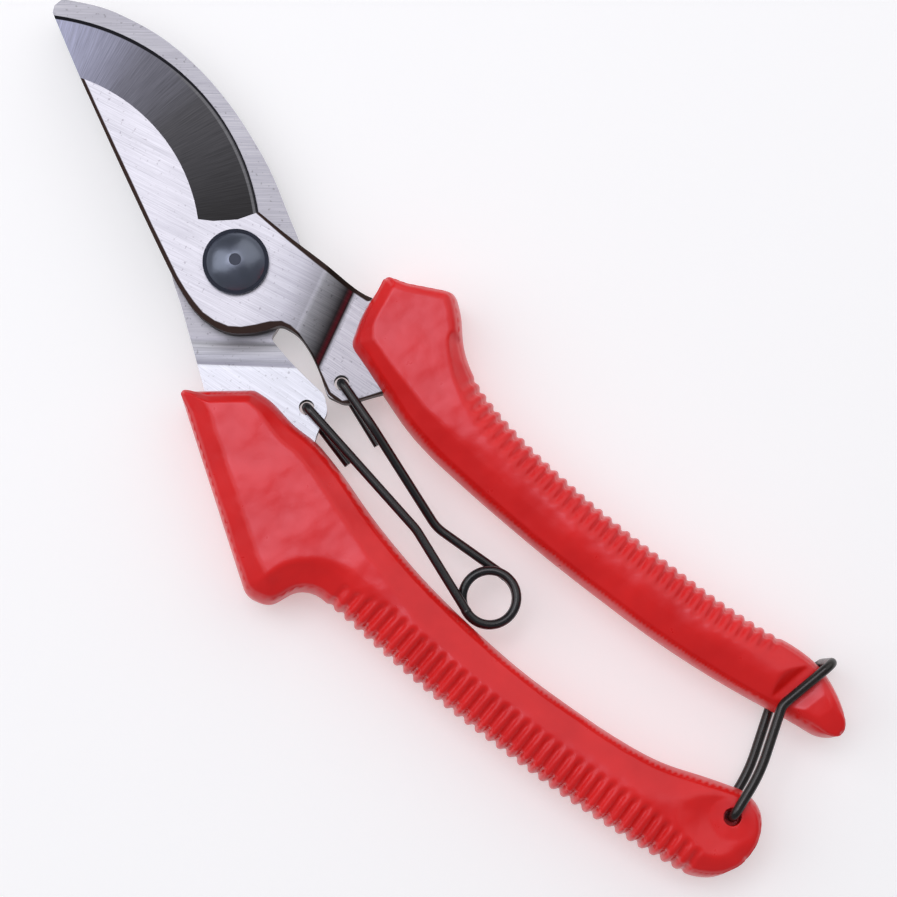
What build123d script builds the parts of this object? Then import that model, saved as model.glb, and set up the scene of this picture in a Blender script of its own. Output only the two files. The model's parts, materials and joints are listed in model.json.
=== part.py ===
"""Bypass pruner, 200 mm class, lying flat in its closed and latched position.

+Y runs towards the jaw tips, +Z is the pivot axis. Outlines are written from the pivot
axis; PIVOT_X and PIVOT_Y place the pivot so that the row origin is the centre of the
whole tool's footprint, on the plane the two grips rest on.
"""

import math
import os

from build123d import *

# ---------------------------------------------------------------- driving dimensions
PIVOT_X = 2.6
PIVOT_Y = 41.02

GRIP_T = 15.0
MID = GRIP_T / 2
BLANK_T = 3.2
BLADE_GAP = 0.03
TANG_Z0 = MID - BLANK_T / 2
FRONT_Z0 = MID + BLADE_GAP
REAR_Z0 = MID - BLANK_T

BEND_START = 15.5
BEND_END = 21.6
HOOK_BEND_START = 14.0
HOOK_BEND_END = 18.6

EDGE_CENTRE = (-27.6, 28.4)
EDGE_R = 43.9
BEVEL_R = 32.9
EDGE_LAND = 0.3

BOLT_R = 3.0
BORE_R = 3.05
HEAD_R = 6.0
HEAD_RIM = 1.1
HEAD_DOME = 2.2
WASHER_R = 6.4
WASHER_T = 0.6
NUT_AF = 10.0
NUT_T = 3.1
BOLT_END = 0.35

HOOK_HOLE = (-7.7, -28.2)
BLADE_HOLE = (0.0, -29.0)
SPRING_HOLE_R = 1.4
SPRING_R = 0.85
COIL_C = (-5.6, -75.9)
COIL_R = 4.9
COIL_PITCH = 1.85
COIL_Z0 = 6.1
LEG_Z = TANG_Z0 + BLANK_T + 0.25 + SPRING_R
RETURN_Z = TANG_Z0 - 0.25 - SPRING_R
LEG_A_BEND = (-7.5, -58.0)
LEG_B_BEND = (-4.3, -60.0)
SPLIT_TURN = 250.0

LATCH_HOLE = (0.6, -133.5)
LATCH_R = 0.9
LATCH_BORE_R = 0.96
MOUTH_R = 1.6
MOUTH_DEPTH = 2.0
LATCH_ARM_Z = 6.35
LATCH_PIN = 3.6
BAR_X = 32.4
BAR_Y = -125.2
PAD_R = 10.5
PAD_CUT = 2.2
NOSE_CUT = 1.8
NOSE_X = 25.0
NOSE_Y = -121.6
NOSE_END = -140.0
SEAT_CUT = 2.2
SEAT_W = 4.4

BEVEL_W = 3.4
BEVEL_H = 2.3
RIB_R = 0.8
RIB_REACH = 6.4


def at(z, turn=0.0):
    """Plane parallel to the ground through the pivot axis, its x turned by some degrees."""
    a = math.radians(turn)
    return Plane(
        origin=(PIVOT_X, PIVOT_Y, z), x_dir=(math.cos(a), math.sin(a), 0), z_dir=(0, 0, 1)
    )


def bent_plane(along, away):
    """Plane across a blank: local x runs away from the pivot, local y is up."""
    return Plane(
        origin=(PIVOT_X, PIVOT_Y, 0), x_dir=(away[0], away[1], 0), z_dir=(-along[0], -along[1], 0)
    )


def corner_radii(points, closed):
    """Largest tangent arc at each corner, or the corner's own third number if smaller."""
    flat = [(p[0], p[1]) for p in points]
    n = len(points)
    radii = []
    for i in range(n) if closed else range(1, n - 1):
        a, b, c = flat[i - 1], flat[i], flat[(i + 1) % n]
        run_in, run_out = math.dist(a, b), math.dist(b, c)
        turn = math.atan2(c[1] - b[1], c[0] - b[0]) - math.atan2(b[1] - a[1], b[0] - a[0])
        turn = abs((turn + math.pi) % (2 * math.pi) - math.pi)
        largest = 0.46 * min(run_in, run_out) / math.tan(max(turn, 0.002) / 2)
        radii.append(min(largest, points[i][2] if len(points[i]) > 2 else 900.0))
    return radii


def xy(points):
    return [(p[0], p[1]) for p in points]


def soften(points):
    """Closed outline with each gentle corner replaced by short chords of its tangent arc."""
    radii = corner_radii(points, True)
    flat = [(p[0], p[1]) for p in points]
    n = len(points)
    out = []
    for i in range(n):
        a, b, c = flat[i - 1], flat[i], flat[(i + 1) % n]
        if len(points[i]) > 2 or radii[i] < 2 * BEVEL_W:
            out.append(b)
            continue
        head_in = math.atan2(b[1] - a[1], b[0] - a[0])
        turn = (math.atan2(c[1] - b[1], c[0] - b[0]) - head_in + math.pi) % (2 * math.pi) - math.pi
        radius = 0.85 * radii[i]
        reach = radius * math.tan(abs(turn) / 2)
        steps = 1 if abs(turn) < 0.12 else 2 if abs(turn) < 0.3 else 3
        x = b[0] - reach * math.cos(head_in)
        y = b[1] - reach * math.sin(head_in)
        out.append((x, y))
        for k in range(steps):
            chord = 2 * radius * math.sin(abs(turn) / steps / 2)
            heading = head_in + turn * (k + 0.5) / steps
            x += chord * math.cos(heading)
            y += chord * math.sin(heading)
            out.append((x, y))
    return out


def inset(points, amount):
    """The same corners moved inwards so that every side shifts by amount."""
    flat = [(p[0], p[1]) for p in points]
    n = len(flat)
    area = sum(
        flat[i - 1][0] * flat[i][1] - flat[i][0] * flat[i - 1][1] for i in range(n)
    )
    side = amount if area > 0 else -amount
    moved = []
    for i in range(n):
        a, b, c = flat[i - 1], flat[i], flat[(i + 1) % n]
        run_in, run_out = math.dist(a, b), math.dist(b, c)
        n_in = ((a[1] - b[1]) / run_in, (b[0] - a[0]) / run_in)
        n_out = ((b[1] - c[1]) / run_out, (c[0] - b[0]) / run_out)
        k = side / (1 + n_in[0] * n_out[0] + n_in[1] * n_out[1])
        moved.append((b[0] + k * (n_in[0] + n_out[0]), b[1] + k * (n_in[1] + n_out[1])))
    return moved


# ---------------------------------------------------------------- blade outlines
# a third number is the radius of a tight corner
blade_path = [
    (5.3, 57.45), (1.6, 46.3), (-3.6, 29.1), (-7.2, 16.8), (-10.6, 4.6), (-11.7, -2.6),
    (-9.9, -8.9), (-5.1, -12.6), (-1.3, -14.0, 2.2), (-0.1, -17.4), (-0.5, -21.1),
    (-1.7, -25.1), (-3.5, -29.2, 1.8), (-2.0, -32.6, 3.0), (2.0, -34.2), (6.6, -36.6, 8),
    (6.9, -50.0), (8.2, -66.0, 1.6), (12.6, -68.0, 1.6), (13.2, -50.0), (16.6, -34.0),
    (18.2, -26.0, 2.5), (14.1, -20.6), (13.1, -17.0), (11.9, -10.1), (10.4, -3.0), (9.2, 4.5),
]
hook_path = [
    (6.6, 58.9, 0.6), (8.5, 58.9, 1.6), (13.5, 52.5), (17.6, 42.4), (19.1, 32.0), (18.7, 21.8),
    (16.5, 9.8), (13.0, 0.2), (11.3, -5.0), (7.2, -10.3), (0.6, -12.9), (-4.2, -14.2, 1.2),
    (-4.5, -21.4), (-3.8, -28.6, 2.2), (-5.4, -31.4, 3), (-10.0, -33.2), (-13.0, -36.0),
    (-14.6, -52.0), (-15.6, -74.0, 1.6), (-20.0, -76.0, 1.6), (-20.6, -52.0), (-22.2, -30.0),
    (-23.0, -20.5, 2.5), (-19.2, -13.1), (-15.4, -5.0), (-12.2, 1.6), (-9.8, 7.6),
    (-4.2, 12.0), (3.4, 12.0), (8.6, 13.6), (11.9, 20.6), (12.9, 31.0), (11.0, 42.6),
    (5.4, 56.4, 0.4), (5.4, 58.0, 0.5),
]

with BuildSketch(at(0)) as blade_outline:
    with BuildLine():
        FilletPolyline(xy(blade_path), radius=corner_radii(blade_path, False))
        ThreePointArc(
            xy(blade_path)[-1], (EDGE_CENTRE[0] + EDGE_R, EDGE_CENTRE[1]), xy(blade_path)[0]
        )
    make_face()

with BuildSketch(at(0)) as hook_outline:
    with BuildLine():
        FilletPolyline(xy(hook_path), radius=corner_radii(hook_path, True), close=True)
    make_face()

# bend lines of the two blanks: unit vectors along the bend, and across it away from the pivot
BLADE_BEND_ALONG = (0.913, 0.408)
BLADE_BEND_AWAY = (0.408, -0.913)
HOOK_BEND_ALONG = (0.726, -0.687)
HOOK_BEND_AWAY = (-0.687, -0.726)

# side view of each bent blank: flat jaw, sloped step, flat tang
blade_side_view = [
    (-80, FRONT_Z0, 0), (BEND_START, FRONT_Z0, 3), (BEND_END, TANG_Z0, 5), (80, TANG_Z0, 0),
    (80, TANG_Z0 + BLANK_T, 0), (BEND_END, TANG_Z0 + BLANK_T, 5),
    (BEND_START, FRONT_Z0 + BLANK_T, 3), (-80, FRONT_Z0 + BLANK_T, 0),
]
hook_side_view = [
    (-80, REAR_Z0, 0), (HOOK_BEND_START, REAR_Z0, 3), (HOOK_BEND_END, TANG_Z0, 5), (80, TANG_Z0, 0),
    (80, TANG_Z0 + BLANK_T, 0), (HOOK_BEND_END, TANG_Z0 + BLANK_T, 5),
    (HOOK_BEND_START, REAR_Z0 + BLANK_T, 3), (-80, REAR_Z0 + BLANK_T, 0),
]

# ground bevel of the cutting blade: a shallow cone that leaves a thin edge
bevel_slope = (BLANK_T - EDGE_LAND) / (EDGE_R - BEVEL_R)
cone_top = FRONT_Z0 + BLANK_T
cone_out = EDGE_R + 4
with BuildPart() as bevel_cone:
    with BuildSketch(
        Plane(
            origin=(PIVOT_X + EDGE_CENTRE[0], PIVOT_Y + EDGE_CENTRE[1], 0),
            x_dir=(1, 0, 0), z_dir=(0, -1, 0),
        )
    ):
        with BuildLine():
            Polyline(
                (BEVEL_R, cone_top), (cone_out, cone_top - bevel_slope * (cone_out - BEVEL_R)),
                (cone_out, cone_top + 2), (BEVEL_R, cone_top + 2), (BEVEL_R, cone_top),
            )
        make_face()
    revolve(
        axis=Axis(
            (PIVOT_X + EDGE_CENTRE[0], PIVOT_Y + EDGE_CENTRE[1], 0), (0, 0, 1)
        )
    )
    with BuildSketch(at(0)):
        with BuildLine():
            Polyline(
                (-0.9, 11.6), (1.9, 8.5), (5.4, 5.8), (9.2, 4.3), (30, 1), (30, 75),
                (-20, 75), (-20, 30), (-0.9, 11.6),
            )
        make_face()
    extrude(amount=GRIP_T, mode=Mode.INTERSECT)

with BuildPart() as cutting_blade:
    with BuildSketch(bent_plane(BLADE_BEND_ALONG, BLADE_BEND_AWAY)):
        with BuildLine():
            FilletPolyline(
                xy(blade_side_view), radius=corner_radii(blade_side_view, True), close=True
            )
        make_face()
    extrude(amount=80, both=True)
    with BuildSketch(at(0)):
        add(blade_outline.sketch_local)
    extrude(amount=GRIP_T, mode=Mode.INTERSECT)
    add(bevel_cone.part, mode=Mode.SUBTRACT)
    with BuildSketch(at(0)):
        Circle(BORE_R)
        with Locations(BLADE_HOLE):
            Circle(SPRING_HOLE_R)
    extrude(amount=GRIP_T, mode=Mode.SUBTRACT)

with BuildPart() as hook_blade:
    with BuildSketch(bent_plane(HOOK_BEND_ALONG, HOOK_BEND_AWAY)):
        with BuildLine():
            FilletPolyline(
                xy(hook_side_view), radius=corner_radii(hook_side_view, True), close=True
            )
        make_face()
    extrude(amount=80, both=True)
    with BuildSketch(at(0)):
        add(hook_outline.sketch_local)
    extrude(amount=GRIP_T, mode=Mode.INTERSECT)
    with BuildSketch(at(0)):
        Circle(BOLT_R)
        with Locations(HOOK_HOLE):
            Circle(SPRING_HOLE_R)
    extrude(amount=GRIP_T, mode=Mode.SUBTRACT)

# ---------------------------------------------------------------- grips
lower_path = [
    (-12.6, -19.6, 1.6), (-23.0, -10.8, 1.3), (-38.5, -47.0, 4.0), (-36.4, -51.0, 3.6),
    (-31.0, -52.0), (-28.7, -54.6), (-27.9, -60.1), (-26.9, -70.0), (-25.1, -83.8),
    (-22.2, -98.6), (-19.1, -113.3), (-14.9, -128.0), (-12.0, -136.6), (-8.8, -140.0),
    (-3.6, -141.2), (2.8, -139.8), (5.8, -136.6), (5.9, -132.4), (2.3, -125.8),
    (-2.3, -118.4), (-5.4, -109.5), (-7.9, -99.7), (-10.1, -89.8), (-11.6, -77.9),
    (-12.5, -66.0), (-12.1, -52.1), (-10.7, -41.0), (-10.4, -34.0), (-11.5, -29.5),
    (-11.6, -23.0),
]
upper_path = [
    (5.2, -28.9), (4.2, -36.0), (3.2, -43.5), (3.3, -50.0), (4.6, -62.0), (7.2, -79.9),
    (11.2, -99.8), (13.8, -109.7), (16.9, -119.4), (19.9, -127.3), (22.0, -134.0),
    (24.8, -136.4), (28.2, -134.6), (30.0, -130.2), (31.0, -125.1), (30.2, -119.7),
    (28.2, -114.2), (25.2, -103.5), (20.9, -82.0), (19.4, -72.0), (18.2, -61.0),
    (18.0, -52.0), (18.5, -45.0), (20.7, -39.0), (24.6, -34.2), (26.5, -30.3, 2.4),
    (18.5, -19.9, 1.5), (11.0, -21.9), (5.6, -25.0, 2.6),
]

# one rib groove: a round channel that climbs the side wall and both bevels
groove_plane = Plane(origin=(0, 0, 0), x_dir=(1, 0, 0), z_dir=(0, -1, 0))
with BuildPart() as groove:
    with BuildLine(groove_plane) as groove_line:
        Polyline(
            (RIB_REACH, GRIP_T + 0.7), (BEVEL_W, GRIP_T), (0, GRIP_T - BEVEL_H), (0, BEVEL_H),
            (BEVEL_W, 0), (RIB_REACH, -0.7),
        )
    with BuildSketch(Plane(origin=groove_line.line @ 0, z_dir=groove_line.line % 0)):
        Circle(RIB_R)
    sweep(transition=Transition.RIGHT)


def rib_places(path, first_y, last_y, pitch, right_side):
    """Locations along the outer edge, x pointing into the grip, from one height to another."""
    flat = [(p[0], p[1]) for p in path]
    places = []
    carry = 0.0
    n = len(flat)
    for i in range(n):
        a, b = flat[i], flat[(i + 1) % n]
        length = math.dist(a, b)
        ux, uy = (b[0] - a[0]) / length, (b[1] - a[1]) / length
        if (uy > 0) != right_side:
            continue
        s = carry
        while s < length:
            x, y = a[0] + ux * s, a[1] + uy * s
            if last_y < y < first_y:
                turn = math.degrees(math.atan2(ux, -uy))
                places.append(Location((PIVOT_X + x, PIVOT_Y + y, 0), (0, 0, turn)))
            s += pitch
        carry = s - length
    return places


def grip_body(path):
    """Slab with sloped rims above and below its upright wall."""
    outer = soften(path)
    inner = inset(outer, BEVEL_W)
    with BuildPart() as slab:
        with BuildSketch(at(BEVEL_H)):
            with BuildLine():
                Polyline(outer, close=True)
            make_face()
        extrude(amount=GRIP_T - 2 * BEVEL_H)
        for z_wide, z_narrow in ((BEVEL_H, 0), (GRIP_T - BEVEL_H, GRIP_T)):
            with BuildSketch(at(z_wide)):
                with BuildLine():
                    Polyline(outer, close=True)
                make_face()
            with BuildSketch(at(z_narrow)):
                with BuildLine():
                    Polyline(inner, close=True)
                make_face()
            loft(ruled=True)
    return slab.part


lower_body = grip_body(lower_path)
lower_ribs = rib_places(lower_path, -58.0, -136.5, 2.35, False)
upper_body = grip_body(upper_path)
upper_ribs = rib_places(upper_path, -44.5, -116.5, 2.1, True)

with BuildPart() as lower_grip:
    add(lower_body)
    with Locations(*lower_ribs):
        add(groove.part, mode=Mode.SUBTRACT)
    # tang socket
    with BuildSketch(at(TANG_Z0)):
        add(hook_outline.sketch_local)
    extrude(amount=BLANK_T, mode=Mode.SUBTRACT)
    # thinner round pad at the latch hole
    with BuildSketch(at(0), at(GRIP_T - PAD_CUT)):
        with Locations(LATCH_HOLE):
            Circle(PAD_R)
    extrude(amount=PAD_CUT, mode=Mode.SUBTRACT)
    with BuildSketch(at(0)):
        with Locations(LATCH_HOLE):
            Circle(LATCH_BORE_R)
    extrude(amount=GRIP_T, mode=Mode.SUBTRACT)
    # wide mouths above and below, down to the bore that holds the wire
    with BuildSketch(at(PAD_CUT), at(GRIP_T - PAD_CUT - MOUTH_DEPTH)):
        with Locations(LATCH_HOLE):
            Circle(MOUTH_R)
    extrude(amount=MOUTH_DEPTH, mode=Mode.SUBTRACT)

with BuildPart() as upper_grip:
    add(upper_body)
    with Locations(*upper_ribs):
        add(groove.part, mode=Mode.SUBTRACT)
    # tang socket
    with BuildSketch(at(TANG_Z0)):
        add(blade_outline.sketch_local)
    extrude(amount=BLANK_T, mode=Mode.SUBTRACT)
    # thinner nose that the latch snaps over, with a shallow seat for the wire
    with BuildSketch(at(0), at(GRIP_T - NOSE_CUT)):
        with Locations((NOSE_X, (NOSE_Y + NOSE_END) / 2)):
            Rectangle(40, NOSE_Y - NOSE_END)
    extrude(amount=NOSE_CUT, mode=Mode.SUBTRACT)
    with BuildSketch(at(0), at(GRIP_T - SEAT_CUT)):
        with Locations((NOSE_X, BAR_Y + 0.4)):
            Rectangle(40, SEAT_W)
    extrude(amount=SEAT_CUT, mode=Mode.SUBTRACT)

# ---------------------------------------------------------------- pivot
head_z = FRONT_Z0 + BLANK_T + BLADE_GAP
with BuildPart() as pivot_bolt:
    with BuildSketch(at(BOLT_END)):
        Circle(BOLT_R)
    extrude(amount=head_z - BOLT_END)
    chamfer(pivot_bolt.edges().group_by(Axis.Z)[0], length=0.4)
    with BuildSketch(at(head_z)):
        Circle(HEAD_R)
    extrude(amount=HEAD_RIM)
    with BuildSketch(
        Plane(origin=(PIVOT_X, PIVOT_Y, head_z + HEAD_RIM), x_dir=(1, 0, 0), z_dir=(0, -1, 0))
    ):
        with BuildLine():
            ThreePointArc(
                (HEAD_R - 0.7, 0), ((HEAD_R - 0.7) * 0.6, HEAD_DOME * 0.68), (0, HEAD_DOME)
            )
            Polyline((0, HEAD_DOME), (0, 0), (HEAD_R - 0.7, 0))
        make_face()
    revolve(axis=Axis((PIVOT_X, PIVOT_Y, 0), (0, 0, 1)))
    with Locations((PIVOT_X, PIVOT_Y, head_z + HEAD_RIM + HEAD_DOME)):
        Cylinder(1.1, 0.5, mode=Mode.SUBTRACT)

with BuildPart() as pivot_washer:
    with BuildSketch(at(REAR_Z0 - WASHER_T)):
        Circle(WASHER_R)
        Circle(BOLT_R, mode=Mode.SUBTRACT)
    extrude(amount=WASHER_T)
    chamfer(pivot_washer.edges().filter_by(GeomType.CIRCLE).sort_by(SortBy.RADIUS)[-2:], length=0.15)

nut_z = REAR_Z0 - WASHER_T - NUT_T
with BuildPart() as pivot_nut:
    with BuildSketch(at(nut_z)):
        RegularPolygon(NUT_AF / 2, 6, major_radius=False, rotation=12)
        Circle(BOLT_R, mode=Mode.SUBTRACT)
    extrude(amount=NUT_T)
    with BuildSketch(
        Plane(origin=(PIVOT_X, PIVOT_Y, nut_z), x_dir=(1, 0, 0), z_dir=(0, -1, 0))
    ):
        with BuildLine():
            Polyline(
                (0, 0), (NUT_AF / 2 - 0.1, 0), (NUT_AF / 2 + 1.4, 0.9), (NUT_AF / 2 + 1.4, NUT_T),
                (0, NUT_T), (0, 0),
            )
        make_face()
    revolve(axis=Axis((PIVOT_X, PIVOT_Y, 0), (0, 0, 1)), mode=Mode.INTERSECT)


# ---------------------------------------------------------------- return spring
def tangent_turn(point, side):
    """Angle on the coil where a straight leg from a point runs onto it; side is +1 right, -1 left."""
    dx, dy = COIL_C[0] - point[0], COIL_C[1] - point[1]
    far = math.hypot(dx, dy)
    heading = math.atan2(dy, dx) + side * math.asin(COIL_R / far)
    return math.degrees(heading) + side * 90


def coil_point(turn, z):
    """Point on the coil's centre line."""
    a = math.radians(turn)
    return (COIL_C[0] + COIL_R * math.cos(a), COIL_C[1] + COIL_R * math.sin(a), z)


turn_a = tangent_turn(LEG_A_BEND, -1)
turn_b = tangent_turn(LEG_B_BEND, 1)

coil_turns = ((turn_b - turn_a) % 360 + 360) / 360
coil_x, coil_y = PIVOT_X + COIL_C[0], PIVOT_Y + COIL_C[1]
coil_top = COIL_Z0 + coil_turns * COIL_PITCH
low_rise = COIL_PITCH * SPLIT_TURN / 360


def coil_piece(degrees):
    """Stretch of the coil that climbs while it turns clockwise, seen from above."""
    with BuildPart() as piece:
        with BuildLine() as turn_line:
            Helix(COIL_PITCH, COIL_PITCH * degrees / 360, COIL_R, lefthand=True)
        with BuildSketch(Plane(origin=turn_line.line @ 0, z_dir=turn_line.line % 0)):
            Circle(SPRING_R)
        sweep()
    return piece.part


def leg_piece(path, radii):
    """Bent straight wire along a path of points measured from the pivot."""
    with BuildPart() as piece:
        with BuildLine(at(0)) as leg_line:
            FilletPolyline(path, radius=radii)
        with BuildSketch(Plane(origin=leg_line.line @ 0, z_dir=leg_line.line % 0)):
            Circle(SPRING_R)
        sweep()
        with Locations((PIVOT_X + path[-1][0], PIVOT_Y + path[-1][1], path[-1][2])):
            Sphere(SPRING_R + 0.05)
    return piece.part


leg_a = [
    (-8.6, -40.7, RETURN_Z), (HOOK_HOLE[0], HOOK_HOLE[1], RETURN_Z),
    (HOOK_HOLE[0], HOOK_HOLE[1], LEG_Z), (LEG_A_BEND[0], LEG_A_BEND[1], (LEG_Z + coil_top) / 2),
    coil_point(turn_a, coil_top),
]
leg_b = [
    (-2.2, -41.6, RETURN_Z), (BLADE_HOLE[0], BLADE_HOLE[1], RETURN_Z),
    (BLADE_HOLE[0], BLADE_HOLE[1], LEG_Z), (-1.1, -38.5, LEG_Z),
    (LEG_B_BEND[0], LEG_B_BEND[1], COIL_Z0 + 0.2), coil_point(turn_b, COIL_Z0),
]

hook_leg = leg_piece(leg_a, [1.3, 1.3, 10])
hook_coil = coil_piece(coil_turns * 360 - SPLIT_TURN)
blade_leg = leg_piece(leg_b, [1.3, 1.3, 15, 7])
blade_coil = coil_piece(SPLIT_TURN)

with BuildPart() as spring_hook_arm:
    add(hook_leg)
    with Locations(Location((coil_x, coil_y, COIL_Z0 + low_rise), (0, 0, turn_b - SPLIT_TURN))):
        add(hook_coil)

with BuildPart() as spring_blade_arm:
    add(blade_leg)
    with Locations(Location((coil_x, coil_y, COIL_Z0), (0, 0, turn_b))):
        add(blade_coil)

# ---------------------------------------------------------------- wire latch
hx, hy = LATCH_HOLE
arm_top = MID + LATCH_ARM_Z
arm_low = MID - LATCH_ARM_Z
arm_mid = [(9.4, -130.9), (20.4, -124.7)]
latch_path = [(hx, hy, arm_top - LATCH_PIN), (hx, hy, arm_top)]
latch_path += [(x, y, arm_top) for x, y in arm_mid]
latch_path += [(BAR_X, BAR_Y, arm_top), (BAR_X, BAR_Y, arm_low)]
latch_path += [(x, y, arm_low) for x, y in reversed(arm_mid)]
latch_path += [(hx, hy, arm_low), (hx, hy, arm_low + LATCH_PIN)]

with BuildPart() as wire_latch:
    with BuildLine(at(0)) as latch_line:
        FilletPolyline(latch_path, radius=[1.4, 30, 3.2, 2.0, 2.0, 3.2, 30, 1.4])
    with BuildSketch(Plane(origin=latch_line.line @ 0, z_dir=latch_line.line % 0)):
        Circle(LATCH_R)
    sweep()

# ---------------------------------------------------------------- one STEP per piece
cutting_blade.part.label = "cutting_blade"
hook_blade.part.label = "hook_blade"
upper_grip.part.label = "upper_grip"
lower_grip.part.label = "lower_grip"
pivot_bolt.part.label = "pivot_bolt"
pivot_washer.part.label = "pivot_washer"
pivot_nut.part.label = "pivot_nut"
spring_hook_arm.part.label = "spring_hook_arm"
spring_blade_arm.part.label = "spring_blade_arm"
wire_latch.part.label = "wire_latch"

os.makedirs("parts", exist_ok=True)
export_step(cutting_blade.part, "parts/cutting_blade.step")
export_step(hook_blade.part, "parts/hook_blade.step")
export_step(upper_grip.part, "parts/upper_grip.step")
export_step(lower_grip.part, "parts/lower_grip.step")
export_step(pivot_bolt.part, "parts/pivot_bolt.step")
export_step(pivot_washer.part, "parts/pivot_washer.step")
export_step(pivot_nut.part, "parts/pivot_nut.step")
export_step(spring_hook_arm.part, "parts/spring_hook_arm.step")
export_step(spring_blade_arm.part, "parts/spring_blade_arm.step")
export_step(wire_latch.part, "parts/wire_latch.step")
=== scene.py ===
"""Bypass pruner: detailed grips, ground steel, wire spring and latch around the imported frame."""

import bpy
import bmesh
import json
import math
import numpy as np
from mathutils import Matrix, Vector

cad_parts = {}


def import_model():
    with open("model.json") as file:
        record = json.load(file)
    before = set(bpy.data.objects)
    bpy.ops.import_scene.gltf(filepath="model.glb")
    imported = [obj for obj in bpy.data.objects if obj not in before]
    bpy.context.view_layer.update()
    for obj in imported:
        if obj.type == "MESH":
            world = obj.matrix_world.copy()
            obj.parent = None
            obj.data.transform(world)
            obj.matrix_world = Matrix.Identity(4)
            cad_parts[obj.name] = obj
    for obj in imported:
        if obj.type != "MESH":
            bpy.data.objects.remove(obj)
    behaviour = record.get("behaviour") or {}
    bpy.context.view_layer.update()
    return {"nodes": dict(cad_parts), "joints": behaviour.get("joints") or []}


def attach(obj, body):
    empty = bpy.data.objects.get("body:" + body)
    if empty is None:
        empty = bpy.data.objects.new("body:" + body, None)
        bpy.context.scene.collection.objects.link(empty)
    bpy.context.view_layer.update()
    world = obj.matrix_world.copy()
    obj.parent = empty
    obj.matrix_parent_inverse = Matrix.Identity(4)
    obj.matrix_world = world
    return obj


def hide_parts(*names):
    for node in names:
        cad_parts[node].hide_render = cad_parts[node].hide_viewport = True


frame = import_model()

MM = 0.001


def joint_place(name):
    """Where a joint's axis stands in the row frame, metres."""
    return next(j for j in frame["joints"] if j["name"] == name)["pos_m"]


PX, PY, PZ = joint_place("pivot_open")
latch_place = joint_place("latch_swing")
LATCH = ((latch_place[0] - PX) / MM, (latch_place[1] - PY) / MM)

# the CAD shapes that the materials and the grips follow, in mm from the pivot axis
HALF = 7.5  # half the grips' thickness
EDGE_CENTRE = (-27.6, 28.4)  # centre of the round cutting edge and of its bevel
EDGE_R = 43.9
BEVEL_R = 32.6
BLADE_SPRING_HOLE = (0.0, -29.0)
HOOK_SPRING_HOLE = (-7.7, -28.2)
BLADE_BEND_WAY = (0.408, -0.913)  # which way each blank runs towards its bend
HOOK_BEND_WAY = (-0.687, -0.726)
BLADE_BEND_END = 22.0
HOOK_BEND_END = 18.6
BEND_SPAN = 30.0  # the bend tones are ramps over this distance from the pivot


# ---------------------------------------------------------------- camera
# measured from the pivot axis, on the plane where the two blades meet, in mm
EYE = Vector((-34.0, -76.0, 430.0))
AIM = Vector((6.8, -50.7, 0.0))
UP = Vector((0.6626, 0.7490, 0.0))
FIELD = 163.1  # width of the view at the aim point, mm
SENSOR = 36.0


def world(x, y, z):
    """Row-frame metres of a point given in mm from the pivot."""
    return Vector((PX + x * MM, PY + y * MM, PZ + z * MM))


cam_data = bpy.data.cameras.new("camera")
cam = bpy.data.objects.new("camera", cam_data)
bpy.context.scene.collection.objects.link(cam)
forward = (AIM - EYE).normalized()
right = forward.cross(UP).normalized()
up = right.cross(forward)
cam.matrix_world = Matrix.Translation(world(*EYE)) @ Matrix(
    (right, up, -forward)
).transposed().to_4x4()
cam_data.sensor_width = SENSOR
cam_data.lens = SENSOR * (AIM - EYE).length / FIELD
cam_data.clip_start = 0.01
cam_data.clip_end = 20.0
bpy.context.scene.camera = cam


# ---------------------------------------------------------------- node helpers
def material(name):
    """A new material, its node tree and its Principled shader."""
    m = bpy.data.materials.new(name)
    m.use_nodes = True
    n = m.node_tree.nodes
    n.clear()
    out = n.new("ShaderNodeOutputMaterial")
    bsdf = n.new("ShaderNodeBsdfPrincipled")
    m.node_tree.links.new(bsdf.outputs["BSDF"], out.inputs["Surface"])
    return m, m.node_tree, bsdf


def stretched(tree, scale, angle=0.0, offset=(0, 0, 0)):
    """Object coordinates turned about Z, then scaled per axis (1/m)."""
    tc = tree.nodes.new("ShaderNodeTexCoord")
    turn = tree.nodes.new("ShaderNodeMapping")
    turn.vector_type = "POINT"
    turn.inputs["Rotation"].default_value = (0, 0, angle)
    turn.inputs["Location"].default_value = offset
    size = tree.nodes.new("ShaderNodeMapping")
    size.inputs["Scale"].default_value = scale
    tree.links.new(tc.outputs["Object"], turn.inputs["Vector"])
    tree.links.new(turn.outputs["Vector"], size.inputs["Vector"])
    return size.outputs["Vector"]


def noise(tree, vector, scale=1.0, detail=3.0, rough=0.5):
    """Fractal noise, 0 to 1."""
    t = tree.nodes.new("ShaderNodeTexNoise")
    t.inputs["Scale"].default_value = scale
    t.inputs["Detail"].default_value = detail
    t.inputs["Roughness"].default_value = rough
    tree.links.new(vector, t.inputs["Vector"])
    return t.outputs["Fac"]


def ramp(tree, value, stops):
    """A colour that runs through the (position, colour) stops as value goes from 0 to 1."""
    r = tree.nodes.new("ShaderNodeValToRGB")
    while len(r.color_ramp.elements) < len(stops):
        r.color_ramp.elements.new(0.5)
    for e, (p, c) in zip(r.color_ramp.elements, stops):
        e.position = p
        e.color = (*c, 1.0)
    tree.links.new(value, r.inputs["Fac"])
    return r.outputs["Color"]


def span(tree, value, low, high):
    """low where value is 0, high where it is 1."""
    m = tree.nodes.new("ShaderNodeMapRange")
    m.inputs["To Min"].default_value = low
    m.inputs["To Max"].default_value = high
    tree.links.new(value, m.inputs["Value"])
    return m.outputs["Result"]


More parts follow.
